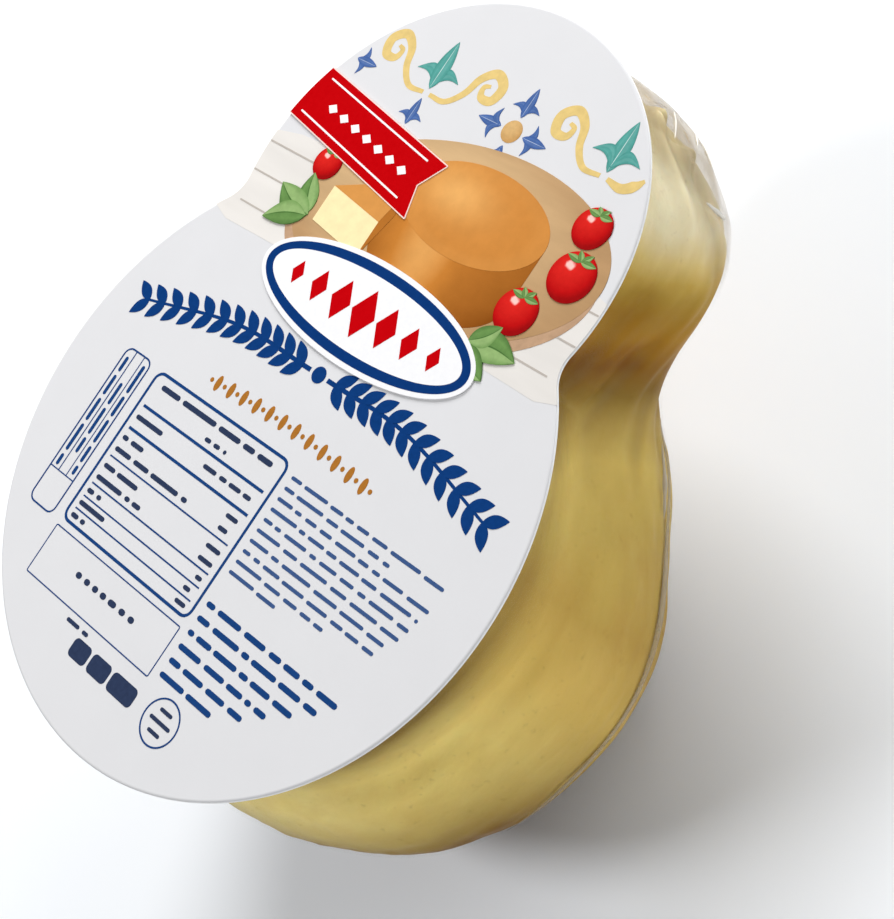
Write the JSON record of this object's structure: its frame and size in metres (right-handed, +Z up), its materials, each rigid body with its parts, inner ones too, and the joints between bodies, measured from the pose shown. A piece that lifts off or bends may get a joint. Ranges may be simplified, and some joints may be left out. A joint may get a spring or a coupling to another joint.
{
  "type": "vacuum-packed provola cheese",
  "caption": "Small gourd-shaped smoked provola cheese, shrunk into clear film under a printed figure-of-eight label, lying on its back.",
  "frame": {"origin": "middle of the box's underside, on the surface that the pack lies on", "axes": "+Y along the cheese from its belly to its head, +Z up, out of the label's printed face"},
  "size_m": [0.07, 0.092, 0.0515],
  "materials": {
    "smoked_cheese": "satin",
    "label_card": "satin",
    "clear_film": "gloss",
    "label_print": "satin"
  },
  "bodies": {
    "root": {"cheese_in_film": "smoked_cheese", "label": "label_card"}
  },
  "joints": []
}
